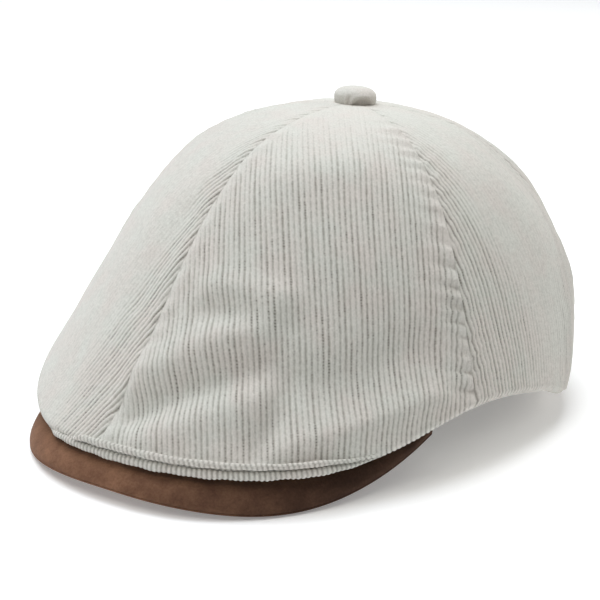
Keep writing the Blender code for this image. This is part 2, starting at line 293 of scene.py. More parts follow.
def visor_root(angle):
    turn = angle * VISOR_ROOT_TURN
    outside = BAND_CLOTH + BAND_CLEARANCE
    x = (HEAD_HALF_WIDTH + outside) * np.sin(turn)
    y = HEAD_CENTRE_Y - (HEAD_HALF_LENGTH + outside) * np.cos(turn)
    tip = VISOR_RIM_FRONT + VISOR_RIM_RISE - VISOR_RIM_ARCH + VISOR_TIP_RISE
    return np.stack([x, y, VISOR_ROOT_FRONT + (tip - VISOR_ROOT_FRONT) * np.sin(turn) ** 2], -1)


def visor_top(angle, distance):
    """The visor's top face at this distance in from its rim."""
    rim, root = visor_rim(angle), visor_root(angle)
    width = np.hypot(rim[..., 0] - root[..., 0], rim[..., 1] - root[..., 1])
    distance = np.minimum(distance, width)
    point = rim + (root - rim) * (distance / width)[..., None]
    rise = (1 - np.exp(-distance / VISOR_DROOP)) / (1 - np.exp(-width / VISOR_DROOP))
    top_of_rim = rim[..., 2] + VISOR_THICKNESS
    point[..., 2] = top_of_rim + (root[..., 2] - top_of_rim) * rise
    return point


# --- Slack, folds and puckers -------------------------------------------------------------------


def soft_waves(points):
    """Slow irregular waves, the same on every layer of the crown."""
    x, y, z = (points / MM).T
    slow = np.sin(0.085 * x + 0.05 * y + 1.1) * np.sin(0.06 * y - 0.09 * z + 0.4)
    middle = np.sin(0.16 * x - 0.11 * y + 0.13 * z + 2.0) * np.sin(0.14 * z + 0.07 * y)
    fine = np.sin(0.31 * x + 0.23 * y + 0.9) * np.sin(0.27 * y - 0.35 * z + 2.2)
    return 0.25 * MM * slow + 0.20 * MM * middle + 0.10 * MM * fine


def from_segment(points, start, end):
    line = end - start
    share = np.clip((points - start) @ line / (line @ line), 0, 1)
    return np.linalg.norm(points - start - share[:, None] * line, axis=1)


def tuck_under(points, along):
    """How far the hem curls in and up behind the ears."""
    turn = degrees_from_front(np.arctan2(points[:, 0], -points[:, 1]))
    share = smooth_step(along, 0.94, 1.08) * (1 - smooth_step(along, 1.6, 1.95))
    return BACK_CURL * bump(turn, BACK_CURL_ANGLE, BACK_CURL_SPREAD) * share


def slack(points, along):
    """How far the cloth stands out from the bare face, from its folds and waves."""
    out = soft_waves(points)
    for (angle, down), (far_angle, far_down), width, height in FOLDS:
        ends = wall_point(np.radians([angle, far_angle]), np.array([down, far_down]))
        out += height * bump(from_segment(points, ends[0], ends[1]), 0, width)
    out *= smooth_step(along, 0.06, 0.2) * (1 - smooth_step(along, 0.93, 1.02))
    return out - tuck_under(points, along)


SEAM_GROOVE = 0.22 * MM
SEAM_HALF_WIDTH = 0.8 * MM
ALLOWANCE_HEIGHT = 0.4 * MM
ALLOWANCE_PLACE = 3.2 * MM
ALLOWANCE_HALF_WIDTH = 2.2 * MM
TUCK_HEIGHT = 0.75 * MM
TUCK_SPACING = 9.5 * MM
TUCK_SLANT = 0.55
TUCKS_START = (25 * MM, 70 * MM)  # no tucks above the first, all of them below the second


def seam_relief(from_seam, travelled, strength):
    """A seam's groove, the allowance folded beside it, and the puckers that run out of it."""
    groove = -SEAM_GROOVE * bump(from_seam, 0, SEAM_HALF_WIDTH)
    swell = 0.7 + 0.3 * np.sin(travelled / (6.3 * MM)) * np.sin(travelled / (17 * MM))
    allowance = ALLOWANCE_HEIGHT * swell * bump(from_seam, ALLOWANCE_PLACE, ALLOWANCE_HALF_WIDTH)
    place = travelled + TUCK_SLANT * from_seam
    phase = 2 * pi * place / TUCK_SPACING + 2.4 * np.sin(place / (13 * MM))
    tuck = 0.7 * np.sin(phase) + 0.35 * np.sin(2.3 * phase + 0.8)
    uneven = 0.72 + 0.28 * np.sin(place / (9 * MM) + 2.5 * np.sin(place / (31 * MM)))
    uneven *= smooth_step(travelled, *TUCKS_START)
    reach = (3.6 + 1.1 * strength) * MM
    fade = np.exp(-from_seam / reach) * (1 - np.exp(-from_seam / (0.7 * MM)))
    return groove + allowance + strength * uneven * tuck * fade * TUCK_HEIGHT


def caught_grooves(from_seam, count):
    """1 where every second groove is caught in the seam and pulled deep, and coloured darker as painted
    shade, 0 elsewhere.
    """
    return np.maximum(0, np.cos(pi * (count - 0.5))) ** 6 * np.exp(-from_seam / (2.2 * MM))


# --- Mesh helpers -------------------------------------------------------------------------------


def new_mesh(name, points, faces, attributes=None):
    mesh = bpy.data.meshes.new(name)
    mesh.from_pydata(in_row(points).tolist(), [], faces)
    for key, values in (attributes or {}).items():
        layer = mesh.attributes.new(key, "FLOAT", "POINT")
        layer.data.foreach_set("value", np.asarray(values, np.float32))
    mesh.shade_smooth()
    mesh.update()
    return mesh


def add_trim(name, mesh, material):
    """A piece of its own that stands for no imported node."""
    made = bpy.data.objects.new(name, mesh)
    bpy.context.scene.collection.objects.link(made)
    mesh.materials.append(material)
    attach(made, "root")
    return made


def add_piece(name, mesh, material, node):
    """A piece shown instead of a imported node."""
    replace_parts(add_trim(name, mesh, material), node)


def grid_faces(rows, columns, closed=False, first=0):
    """Quads of a grid of points stored row by row."""
    faces = []
    for row in range(rows - 1):
        for column in range(columns if closed else columns - 1):
            after = (column + 1) % columns
            a, b = first + row * columns + column, first + row * columns + after
            faces.append((a, a + columns, b + columns, b))
    return faces


def unit(vectors):
    return vectors / (np.linalg.norm(vectors, axis=-1, keepdims=True) + 1e-12)


def path_lengths(points):
    return np.concatenate([[0], np.cumsum(np.linalg.norm(np.diff(points, axis=0), axis=1))])


# --- Materials ----------------------------------------------------------------------------------


class Finish:
    """A Principled material, and short calls that add the nodes behind its sockets."""

    def __init__(self, name, **constants):
        self.material = bpy.data.materials.new(name)
        self.material.use_nodes = True
        self.tree = self.material.node_tree
        self.shader = self.tree.nodes["Principled BSDF"]
        for key, value in constants.items():
            self.shader.inputs[key.replace("_", " ")].default_value = value

    def put(self, socket, value):
        if isinstance(value, bpy.types.NodeSocket):
            self.tree.links.new(value, socket)
        elif isinstance(value, tuple) and len(value) == 3 and len(socket.default_value) == 4:
            socket.default_value = (*value, 1.0)
        else:
            socket.default_value = value

    def feed(self, key, value):
        self.put(self.shader.inputs[key], value)

    def point(self, scale=(1, 1, 1)):
        where = self.tree.nodes.new("ShaderNodeTexCoord").outputs["Object"]
        stretch = self.tree.nodes.new("ShaderNodeMapping")
        self.put(stretch.inputs["Vector"], where)
        stretch.inputs["Scale"].default_value = scale
        return stretch.outputs["Vector"]

    def attribute(self, name):
        node = self.tree.nodes.new("ShaderNodeAttribute")
        node.attribute_name = name
        return node.outputs["Fac"]

    def noise(self, vector, scale, detail=3.0, roughness=0.55):
        node = self.tree.nodes.new("ShaderNodeTexNoise")
        self.put(node.inputs["Vector"], vector)
        node.inputs["Scale"].default_value = scale
        node.inputs["Detail"].default_value = detail
        node.inputs["Roughness"].default_value = roughness
        return node.outputs["Fac"]

    def wave(self, vector, scale, distortion=0.0, direction="X"):
        node = self.tree.nodes.new("ShaderNodeTexWave")
        node.bands_direction = direction
        self.put(node.inputs["Vector"], vector)
        node.inputs["Scale"].default_value = scale
        node.inputs["Distortion"].default_value = distortion
        return node.outputs["Fac"]

    def math(self, operation, *values):
        node = self.tree.nodes.new("ShaderNodeMath")
        node.operation = operation
        for socket, value in zip(node.inputs, values):
            self.put(socket, value)
        return node.outputs[0]

    def spread(self, value, low, high, to_low=0.0, to_high=1.0):
        node = self.tree.nodes.new("ShaderNodeMapRange")
        for socket, given in zip(node.inputs, (value, low, high, to_low, to_high)):
            self.put(socket, given)
        return node.outputs[0]

    def mix(self, share, first, second, blend="MIX"):
        node = self.tree.nodes.new("ShaderNodeMix")
        node.data_type = "RGBA"
        node.blend_type = blend
        self.put(node.inputs[0], share)
        self.put(node.inputs[6], first)
        self.put(node.inputs[7], second)
        return node.outputs[2]

    def relief(self, height, strength, distance, under=None):
        node = self.tree.nodes.new("ShaderNodeBump")
        node.inputs["Strength"].default_value = strength
        node.inputs["Distance"].default_value = distance
        self.put(node.inputs["Height"], height)
        if under is not None:
            self.put(node.inputs["Normal"], under)
        return node.outputs["Normal"]


# The pile's colour on the ridges, and painted shade for its grooves and the dots along them.
IVORY_RIDGE = (0.675, 0.66, 0.62)
IVORY_GROOVE_SHADE = (0.40, 0.385, 0.35)
IVORY_DOT_SHADE = (0.17, 0.16, 0.14)
SHEEN_WARM = (1.0, 0.99, 0.96, 1.0)
DOT_PITCH = 1.15 * MM


def corduroy():
    """Cut pile: wale is 1 on a ridge and 0 in a groove, and run is the distance down the panel. The grooves
    are coloured darker as painted shade, with painted shade dots along them.
    """
    cloth = Finish("ivory corduroy", Roughness=0.95, Specular_IOR_Level=0.1)
    cloth.shader.inputs["Sheen Weight"].default_value = 0.22
    cloth.shader.inputs["Sheen Roughness"].default_value = 0.6
    cloth.shader.inputs["Sheen Tint"].default_value = SHEEN_WARM
    point = cloth.point()
    pile = cloth.noise(point, 1500, 2.0, 0.7)
    speckle = cloth.noise(point, 640, 1.0, 0.4)
    wale = cloth.attribute("wale")
    uneven = cloth.math("MULTIPLY", cloth.math("SUBTRACT", speckle, 0.5), cloth.math("SUBTRACT", 1.2, wale))
    groove_shade = cloth.spread(cloth.math("ADD", wale, uneven), 0.8, 0.1)
    # Painted shade: the grooves are coloured darker than the ridges.
    colour = cloth.mix(groove_shade, IVORY_RIDGE, IVORY_GROOVE_SHADE)
    # Painted shade: dark dots between the tufts along the grooves.
    run = cloth.attribute("run")
    beat = cloth.math("SINE", cloth.math("MULTIPLY", run, 2 * pi / DOT_PITCH))
    beat = cloth.math("MULTIPLY", beat, cloth.spread(run, 0.045, 0.09))
    dot_shade = cloth.math("MULTIPLY", cloth.spread(beat, 0.0, 0.9), cloth.spread(groove_shade, 0.35, 1.0))
    patchy = cloth.spread(cloth.noise(cloth.point((1, 1, 0.5)), 150, 3.0), 0.45, 0.62)
    colour = cloth.mix(cloth.math("MULTIPLY", dot_shade, patchy), colour, IVORY_DOT_SHADE)
    fleck = cloth.mix(cloth.spread(pile, 0.3, 0.7), (0.88, 0.88, 0.87), (1.08, 1.08, 1.08))
    colour = cloth.mix(1.0, colour, fleck, "MULTIPLY")
    cloud = cloth.spread(cloth.noise(point, 55, 4.0), 0.38, 0.62)
    tone = cloth.mix(cloud, (1.0, 0.965, 0.955), (0.985, 1.0, 0.985))
    cloth.feed("Base Color", cloth.mix(1.0, colour, tone, "MULTIPLY"))
    cloth.feed("Normal", cloth.relief(pile, 0.6, 0.00022))
    return cloth.material


def thread():
    yarn = Finish("sewing thread", Roughness=0.7, Specular_IOR_Level=0.3)
    twist = yarn.wave(yarn.point((1, 1, 0.6)), 900, 1.0)
    yarn.feed("Base Color", yarn.mix(twist, (0.42, 0.39, 0.33), (0.60, 0.57, 0.50)))
    yarn.feed("Normal", yarn.relief(twist, 0.5, 0.0001))
    return yarn.material


def suede(name, light, dark):
    """Brushed leather with patches and a fine grain, and painted shade: much darker towards the wearer's
    left, under the crown's overhang, and a little darker at the wearer's right end.
    """
    hide = Finish(name, Roughness=0.92, Specular_IOR_Level=0.12)
    hide.shader.inputs["Sheen Weight"].default_value = 0.2
    hide.shader.inputs["Sheen Roughness"].default_value = 0.5
    hide.shader.inputs["Sheen Tint"].default_value = (0.9, 0.6, 0.45, 1.0)
    point = hide.point()
    nap = hide.noise(point, 1100, 4.0, 0.7)
    patches = hide.noise(point, 95, 5.0, 0.65)
    brushed = hide.noise(hide.point((1, 0.45, 2.0)), 160, 3.0, 0.6)
    share = hide.spread(hide.math("ADD", patches, hide.math("MULTIPLY", brushed, 0.5)), 0.55, 0.98)
    colour = hide.mix(share, dark, light)
    sideways = hide.tree.nodes.new("ShaderNodeSeparateXYZ")
    hide.put(sideways.inputs[0], point)
    # Painted shade: the hide darkens towards the wearer's left, where the crown overhangs it.
    overhang_shade = hide.spread(sideways.outputs["X"], 0.0, 0.075)
    colour = hide.mix(1.0, colour, hide.mix(overhang_shade, (1.0, 1.0, 1.0), (0.29, 0.30, 0.34)), "MULTIPLY")
    # Painted shade: a little darker towards the wearer's right end.
    far_end_shade = hide.spread(sideways.outputs["X"], -0.035, -0.075)
    colour = hide.mix(1.0, colour, hide.mix(far_end_shade, (1.0, 1.0, 1.0), (0.68, 0.68, 0.68)), "MULTIPLY")
    grain = hide.mix(hide.spread(nap, 0.3, 0.7), (0.80, 0.78, 0.77), (1.15, 1.15, 1.15))
    hide.feed("Base Color", hide.mix(1.0, colour, grain, "MULTIPLY"))
    hide.feed("Roughness", hide.spread(patches, 0.3, 0.7, 0.84, 0.98))
    hide.feed("Normal", hide.relief(nap, 0.45, 0.00028, hide.relief(patches, 0.25, 0.0008)))
    return hide.material


def satin():
    lining = Finish("ivory satin", Roughness=0.36, Specular_IOR_Level=0.45, Anisotropic=0.4)
    lining.shader.inputs["Sheen Weight"].default_value = 0.3
    lining.shader.inputs["Sheen Roughness"].default_value = 0.3
    point = lining.point()
    yarns = lining.wave(lining.point((1, 1, 0.35)), 620, 0.8, "DIAGONAL")
    cloud = lining.noise(point, 40, 3.0)
    colour = lining.mix(cloud, (0.50, 0.47, 0.41), (0.60, 0.57, 0.51))
    shade = lining.mix(yarns, (0.93, 0.93, 0.92), (1.03, 1.03, 1.03))
    lining.feed("Base Color", lining.mix(1.0, colour, shade, "MULTIPLY"))
    lining.feed("Roughness", lining.spread(cloud, 0.3, 0.7, 0.30, 0.44))
    lining.feed("Normal", lining.relief(yarns, 0.3, 0.00006, lining.relief(cloud, 0.2, 0.002)))
    return lining.material


def twill():
    band = Finish("cotton twill", Roughness=0.85, Specular_IOR_Level=0.2)
    band.shader.inputs["Sheen Weight"].default_value = 0.15
    point = band.point()
    weave = band.wave(point, 480, 0.6, "DIAGONAL")
    cross = band.wave(point, 900, 1.2, "Z")
    wear = band.noise(point, 60, 4.0)
    colour = band.mix(weave, (0.40, 0.37, 0.31), (0.52, 0.49, 0.42))
    tone = band.mix(band.spread(wear, 0.35, 0.65), (0.93, 0.92, 0.90), (1.03, 1.03, 1.02))
    band.feed("Base Color", band.mix(1.0, colour, tone, "MULTIPLY"))
    height = band.math("ADD", weave, band.math("MULTIPLY", cross, 0.5))
    band.feed("Normal", band.relief(height, 0.5, 0.00012))
    return band.material


def fibre_board():
    board = Finish("visor board", Roughness=0.7, Specular_IOR_Level=0.3)
    grain = board.noise(board.point(), 700, 5.0)
    board.feed("Base Color", board.mix(grain, (0.05, 0.045, 0.04), (0.11, 0.10, 0.09)))
    board.feed("Normal", board.relief(grain, 0.3, 0.0002))
    return board.material


def tinned_steel():
    metal = Finish("tinned steel", Metallic=1.0, Roughness=0.3)
    scratches = metal.noise(metal.point((1, 12, 1)), 300, 4.0)
    metal.feed("Base Color", metal.mix(scratches, (0.48, 0.48, 0.47), (0.66, 0.66, 0.65)))
    metal.feed("Roughness", metal.spread(scratches, 0.3, 0.7, 0.24, 0.42))
    metal.feed("Normal", metal.relief(scratches, 0.15, 0.00005))
    return metal.material


# --- The crown ----------------------------------------------------------------------------------


def wale_profile(count):
    """0 in the groove and 1 on the ridge, for a count of wales across the cloth."""
    return np.abs(np.cos(pi * count)) ** 1.4


CLOTH_REACH = 120 * MM  # wider than half of any panel
STRETCHED_FROM = 60 * MM


def wale_table(stretch):
    """Distances from a panel's middle line, and the wales counted to each."""
    across = np.linspace(-CLOTH_REACH, CLOTH_REACH, 2401)
    pitch = WALE_PITCH * (1 + stretch * smooth_step(across, 0, STRETCHED_FROM))
    count = np.concatenate([[0], np.cumsum(np.diff(across) / pitch[1:])])
    return across, count - np.interp(0, across, count)


def gore_rows(middle):
    """The along values of a gore's rows, evenly spaced down its middle line."""
    fine = np.linspace(APEX_START, 1, 600)
    lengths = path_lengths(skin(np.full(600, middle), fine))
    wall = np.interp(np.linspace(0, lengths[-1], int(lengths[-1] / ROW_LENGTH)), lengths, fine)
    roll = 1 + ROLL_SHARE * np.linspace(0, 1, 6)[1:]
    turning = 1 + ROLL_SHARE + (1 - ROLL_SHARE) * np.linspace(0, 1, 8)[1:]
    return np.concatenate([wall, roll, turning])


def lit_flat_grooves(from_seam, along, reach):
    """How far the grooves flatten and lose their painted shade away from the seams, painted light where the
    lamps fall full on the cloth.
    """
    far = reach * (0.45 + 0.9 * smooth_step(along, 0.45, 0.95))
    return 0.88 * smooth_step(from_seam, 0.5 * far, 1.2 * far)


def uneven_grooves(count, travelled):
    """How deep each groove is, which differs from one to the next and down its length."""
    groove = np.floor(count)
    steady = 0.07 * np.sin(2.1 * groove + 0.8 * np.sin(0.7 * groove))
    return 0.80 + steady + 0.16 * np.sin(travelled / (11 * MM) + 4.7 * groove)


class Gore:
    """One panel: rows of points at constant distances across the cloth, ending on its seams."""

    def __init__(self, start, end, drift, stretch, first_pucker, last_pucker, reach, caught):
        self.start, self.end = radians(start), radians(end)
        self.drift = drift
        self.puckers = first_pucker, last_pucker
        self.reach = reach
        self.caught = caught
        self.across, self.count = wale_table(stretch)
        self.points, self.wales, self.runs, self.faces = [], [], [], []
        self.travelled = 0.0
        self.last_middle = None
        self.last_row = None

    def add_row(self, along):
        fine = np.linspace(self.start, self.end, 160)
        ring = skin(fine, np.full(160, along))
        lengths = path_lengths(ring)
        half = lengths[-1] / 2
        if self.last_middle is not None:
            self.travelled += np.linalg.norm(ring[80] - self.last_middle)
        self.last_middle = ring[80]
        shift = self.drift * self.travelled
        ends = np.interp([-half - shift, half - shift], self.across, self.count)
        low = int(np.ceil(ends[0] * COLUMNS_PER_WALE + 0.35))
        high = int(np.floor(ends[1] * COLUMNS_PER_WALE - 0.35))
        counts = np.arange(low, high + 1) / COLUMNS_PER_WALE
        inner = np.interp(counts, self.count, self.across) + shift
        offsets = np.concatenate([[-half], inner, [half]])
        counts = np.concatenate([[ends[0]], counts, [ends[1]]])
        angle = np.interp(offsets + half, lengths, fine)
        self.place_row(angle, np.full(len(angle), along), half + offsets, half - offsets, counts)
        self.join_row(low, high, len(offsets))

    def place_row(self, angle, along, from_first, from_last, counts):
        base = skin(angle, along)
        nearest = np.minimum(from_first, from_last)
        lit_flat_share = lit_flat_grooves(nearest, along, self.reach)
        # Painted light: the grooves are shallower and paler near the top and away from the seams.
        standing = (1 - lit_flat_share) * (0.35 + 0.65 * smooth_step(along, 0.1, 0.45))
        standing *= uneven_grooves(counts, self.travelled)
        if not self.caught:
            standing *= 0.45 + 0.55 * smooth_step(nearest, 1 * MM, 7 * MM)
        caught = self.caught * caught_grooves(nearest, counts)
        # Lower wale values sink the cloth and colour it darker too: the caught grooves and the seam's groove
        # get painted shade.
        wale = 1 - (1 - wale_profile(counts)) * standing - 0.26 * lit_flat_share - 0.6 * caught
        wale -= 0.18 * (1 - smooth_step(nearest, 0, 0.9 * MM))
        lift = WALE_DEPTH * (wale - 1) + slack(base, along)
        flat = smooth_step(along, 0.02, 0.10) * (1 - smooth_step(along, 0.95, 1.1))
        lift += flat * seam_relief(from_first, self.travelled, self.puckers[0])
        lift += flat * seam_relief(from_last, self.travelled + 7 * MM, self.puckers[1])
        self.points.append(base + outward_normal(angle, along) * lift[:, None])
        self.wales.append(wale)
        self.runs.append(self.travelled + 0.45 * MM * np.floor(counts))

    def join_row(self, low, high, size):
        first = sum(len(row) for row in self.points) - size
        row = (first, low, high)
        if self.last_row is not None:
            self.faces.extend(zip_rows(self.last_row, row))
        self.last_row = row


def zip_rows(upper, lower):
    """Faces between two rows of (first point, first and last column), which differ in length."""
    (up, up_low, up_high), (down, down_low, down_high) = upper, lower
    low, high = max(up_low, down_low), min(up_high, down_high)
    faces = []
    for column in range(low, high):
        a, b = up + 1 + column - up_low, down + 1 + column - down_low
        faces.append((a, b, b + 1, a + 1))
    right_up = list(range(up + 1 + high - up_low, up + 3 + up_high - up_low))
    right_down = list(range(down + 1 + high - down_low, down + 3 + down_high - down_low))
    left_up = list(range(up + 1 + low - up_low, up - 1, -1))
    left_down = list(range(down + 1 + low - down_low, down - 1, -1))
    faces.extend(fan(right_up, right_down, False))
    faces.extend(fan(left_up, left_down, True))
    return faces


def fan(up, down, turned):
    """Closes the strip between two chains of points, one of which has only its two ends."""
    if len(up) < len(down):
        faces = [(up[0], a, b) for a, b in zip(down, down[1:])] + [(up[0], down[-1], up[-1])]
    else:
        faces = [(a, down[0], b) for a, b in zip(up, up[1:])] + [(up[-1], down[0], down[-1])]
    return [face[::-1] for face in faces] if turned else faces


def crown(cloth):
    for name, *shape in GORES:
        gore = Gore(*shape)
        for along in gore_rows((gore.start + gore.end) / 2):
            gore.add_row(along)
        marks = {"wale": np.concatenate(gore.wales), "run": np.concatenate(gore.runs)}
        mesh = new_mesh(f"crown_{name}_cloth", np.concatenate(gore.points), gore.faces, marks)
        add_piece(f"crown_{name}_cloth", mesh, cloth, f"crown_{name}")


# --- The front hem's rolls -----------------------------------------------------------------------


def hem_frames(angles, above, clear):
    """Points, outward and upward directions along the hem, this far up the crown's face."""
    lines = np.linspace(1 + ROLL_SHARE / 2, 0.80, 260)
    points, outs, ups = [], [], []
    for angle, climb, gap in zip(angles, above, clear):
        level = np.full(260, angle)
        line = skin(level, lines)
        lengths = path_lengths(line)
        at = np.interp(climb, lengths, lines)
        place = skin(np.array([angle]), np.array([at]))[0]
        out = outward_normal(np.array([angle]), np.array([at]))[0]
        up = np.array([np.interp(climb + 0.0005, lengths, line[:, k]) for k in range(3)]) - place
        points.append(place + out * gap)
        outs.append(out)
        ups.append(up)
    return np.array(points), np.array(outs), unit(np.array(ups))


ROLL_PITCH = 0.86 * WALE_PITCH
ROLL_STEP = ROLL_PITCH / 6
ROLL_SIDES = 14


def even_angles(start, end, step):
    """Angles from start to end at this spacing along the hem's edge."""
    fine = np.radians(np.linspace(start, end, 900))
    lengths = path_lengths(skin(fine, np.full(900, 1.0)))
    where = np.linspace(0, lengths[-1], int(lengths[-1] / step))
    return np.interp(where, lengths, fine), where


def ribbed_roll(name, start, end, above, radius, clear, twist, cloth, node):
    """A roll of the cloth's edge, its wales running round it."""
    angles, where = even_angles(start, end, ROLL_STEP)
    turn = np.degrees(angles)
    taper = smooth_step(turn, start, start + 7) * (1 - smooth_step(turn, end - 12, end))
    size = radius(turn) * (0.25 + 0.75 * taper)
    rise = above(turn) - (1 - taper) * 1.2 * MM
    points, outs, ups = hem_frames(angles, rise, clear * taper - 0.3 * MM * (1 - taper))
    around = np.linspace(0, 2 * pi, ROLL_SIDES, endpoint=False)
    wave = 0.07 * np.sin(where / (3.1 * MM)) + 0.07 * np.sin(where / (1.7 * MM) + 2)
    count = where[:, None] / ROLL_PITCH + twist * around[None] / (2 * pi)
    wale = wale_profile(count)
    reach = size[:, None] * (1 + wave[:, None]) * (1 - 0.17 * (1 - wale))
    outward = outs[:, None] * np.cos(around)[None, :, None]
    upward = ups[:, None] * np.sin(around)[None, :, None]
    tube = points[:, None] + (outward + upward) * reach[..., None]
    faces = grid_faces(len(angles), ROLL_SIDES, closed=True)
    faces += [tuple(range(ROLL_SIDES)), tuple(range(len(angles) * ROLL_SIDES))[: -ROLL_SIDES - 1 : -1]]
    mesh = new_mesh(name, tube.reshape(-1, 3), faces, {"wale": wale.ravel()})
    add_piece(name, mesh, cloth, node)


STITCH_LENGTH = 2.5 * MM
STITCH_GAP = 0.9 * MM


def capsule_rows(path, side, out, width, height):
    """A small flattened stitch along a short path: six rings of six points."""
    rings = []
    for share in (0.0, 0.12, 0.35, 0.65, 0.88, 1.0):
        place = path[0] + (path[1] - path[0]) * share
        swell = max(0.05, sin(pi * (0.06 + 0.88 * share))) ** 0.5
        for turn in np.linspace(0, 2 * pi, 6, endpoint=False):
            lift = out * (cos(turn) * height * swell - 0.15 * height)
            rings.append(place + side * sin(turn) * width * swell + lift)
    return rings


def stitch_line(name, paths, outs, width, height, yarn):
    """Separate thread stitches in one piece, each between the two ends of its path."""
    points, faces = [], []
    for path, out in zip(paths, outs):
        along = unit(path[1] - path[0])
        side = unit(np.cross(out, along))
        first = len(points)
        points.extend(capsule_rows(path, side, out, width, height))
        faces.extend(grid_faces(6, 6, closed=True, first=first))
        faces.append(tuple(first + k for k in range(6)))
        faces.append(tuple(first + 35 - k for k in range(6)))
    add_trim(name, new_mesh(name, np.array(points), faces), yarn)


# Where each roll starts and ends round the hem, and how far it stands off the crown's face.
LOWER_ROLL = (-23, 52)
LOWER_ROLL_CLEAR = 0.5 * MM
UPPER_ROLL = (-13, 51)
UPPER_ROLL_CLEAR = 1.35 * MM
HEM_STITCHES = (-8, 42)
HEM_STITCHES_UP = 3.3 * MM
HEM_STITCHES_CLEAR = 1 * MM


def lower_radius(turn):
    return (1.45 + 0.35 * smooth_step(turn, -15, 4)) * MM


def upper_radius(turn):
    return (1.45 - 0.25 * smooth_step(turn, 0, 40)) * MM


def lower_rise(turn):
    return (0.9 + 0.4 * smooth_step(turn, -12, 4)) * MM


def upper_rise(turn):
    return (3.5 + 0.8 * smooth_step(turn, -12, 4) - 0.6 * smooth_step(turn, 20, 44)) * MM


def hem_rolls(cloth):
    """The doubled front hem: a fat roll at the edge and a thin pinched one above it."""
    ribbed_roll("hem_roll_lower", *LOWER_ROLL, lower_rise, lower_radius, LOWER_ROLL_CLEAR, 0.25,
                cloth, "front_welt_lower")
    ribbed_roll("hem_roll_upper", *UPPER_ROLL, upper_rise, upper_radius, UPPER_ROLL_CLEAR, 0.8,
                cloth, "front_welt_upper")


def hem_stitches(yarn):
    """The row of stitches between the two rolls."""
    angles, _ = even_angles(*HEM_STITCHES, STITCH_LENGTH + STITCH_GAP)
    share = STITCH_LENGTH / (STITCH_LENGTH + STITCH_GAP)
    ends = angles[:-1] + np.diff(angles) * share
    level = np.full(len(ends), HEM_STITCHES_UP)
    clear = np.full(len(ends), HEM_STITCHES_CLEAR)
    starts, outs, _ = hem_frames(angles[:-1], level, clear)
    stops, _, _ = hem_frames(ends, level, clear)
    stitch_line("hem_stitches", np.stack([starts, stops], 1), outs, 0.22 * MM, 0.25 * MM, yarn)


# --- The visor ----------------------------------------------------------------------------------

# Millimetres: the visor's edge in section, as distance in from the rim and height above its lower
# line, and then the distances in from the rim of the rows across its top and its underside.
VISOR_EDGE = ((3.0, 0.35), (1.4, 0.12), (0.7, 0.05), (0.3, 0.18), (0.12, 0.45), (0.15, 0.8),
              (0.42, 0.98), (0.16, 1.2), (0.04, 1.6), (0.0, 2.2))
VISOR_INNER = (0.12, 0.35, 0.7, 1.2, 1.9, 2.8, 4.0, 5.5, 7.5, 10, 13, 16.5, 20.5, 25, 30, 36, 43, 51, 60)
VISOR_UNDER = (0.9, 1.2, 1.8, 3.0, 5, 8, 12, 17, 23, 30, 38, 47, 60)
EDGE_ROUNDING = 1.7 * MM
VISOR_COLUMNS = 280


def visor_angles(count, short):
    return np.radians(np.linspace(-90 + short, 90 - short, count))


def visor_cover(hide):
    """The top hide, from the tuck under the rim, up over the edge and back under the crown."""
    angle = visor_angles(VISOR_COLUMNS, 0)
    rim, root = visor_rim(angle), visor_root(angle)
    inward = unit((root - rim) * np.array([1, 1, 0]))
    width = np.linalg.norm((root - rim)[:, :2], axis=1)
    rows = []
    for distance, height in VISOR_EDGE:
        reach = np.minimum(distance * MM, 0.5 * width)
        rows.append(rim + inward * reach[:, None] + np.array([0, 0, height * MM]))
    for distance in VISOR_INNER:
        reach = np.minimum(distance * MM, width * (0.3 + 0.7 * distance / VISOR_INNER[-1]))
        top = visor_top(angle, reach)
        top[:, 2] -= EDGE_ROUNDING * np.exp(-reach / (0.9 * MM))
        top[:, 2] += 0.22 * MM * np.sin(angle * 9 + 1) * np.sin(reach / (7 * MM))
        rows.append(top)
    points = np.stack(rows)
    mesh = new_mesh("visor_suede", points.reshape(-1, 3), grid_faces(len(rows), VISOR_COLUMNS))
    mesh.flip_normals()
    add_piece("visor_suede", mesh, hide, "visor_top_cover")


def visor_underside(hide):
    """The lower hide, which meets the turned edge of the top one."""
    angle = visor_angles(VISOR_COLUMNS, 3)
    rows = []
    for distance in VISOR_UNDER:
        level = np.full(len(angle), distance * MM)
        top = visor_top(angle, level)
        tuck = 1.2 * MM * np.exp(-(distance - VISOR_UNDER[0]) / 1.2)
        top[:, 2] -= VISOR_LAYERS - 0.6 * MM * (distance < 1) - tuck
        top[:, 2] += 0.15 * MM * np.sin(angle * 11) * min(1.0, distance / 8)
        rows.append(top)
    points = np.stack(rows)
    faces = grid_faces(len(rows), len(angle))
    mesh = new_mesh("visor_underside_suede", points.reshape(-1, 3), faces)
    add_piece("visor_underside_suede", mesh, hide, "visor_under_cover")


# --- The button ---------------------------------------------------------------------------------

BUTTON_RADIUS = 9 * MM
BUTTON_FOOT = 121.2 * MM
BUTTON_MIDDLE = 125.6 * MM
BUTTON_TOP = 129.9 * MM
DENT_ANGLE = 55
DENT_HEIGHT = 122.2 * MM
DENT_DEPTH = 1.1 * MM
DENT_RIM = 0.35 * MM


def button_folds(turn, height, reach):
    """One rounded dent low on the side, where the cloth is gathered, and pleats beside it."""
    across = (np.degrees(turn) - DENT_ANGLE) * radians(1) * reach
    arc = np.hypot(across, (height - DENT_HEIGHT) * 1.25)
    dent = DENT_RIM * bump(arc, 5.7 * MM, 0.9 * MM) - DENT_DEPTH * (1 - smooth_step(arc, 3.7 * MM, 4.8 * MM))
    low = 1 - smooth_step(height, 125.0 * MM, 127.6 * MM)
    beside = bump(across, -7.5 * MM, 3.2 * MM) + 0.3
    pleats = 0.32 * MM * np.sin(13 * turn + 1.3 * np.sin(3 * turn)) * low * beside
    return dent * bump(across, 0, 9 * MM) + pleats * smooth_step(arc, 5 * MM, 6 * MM)


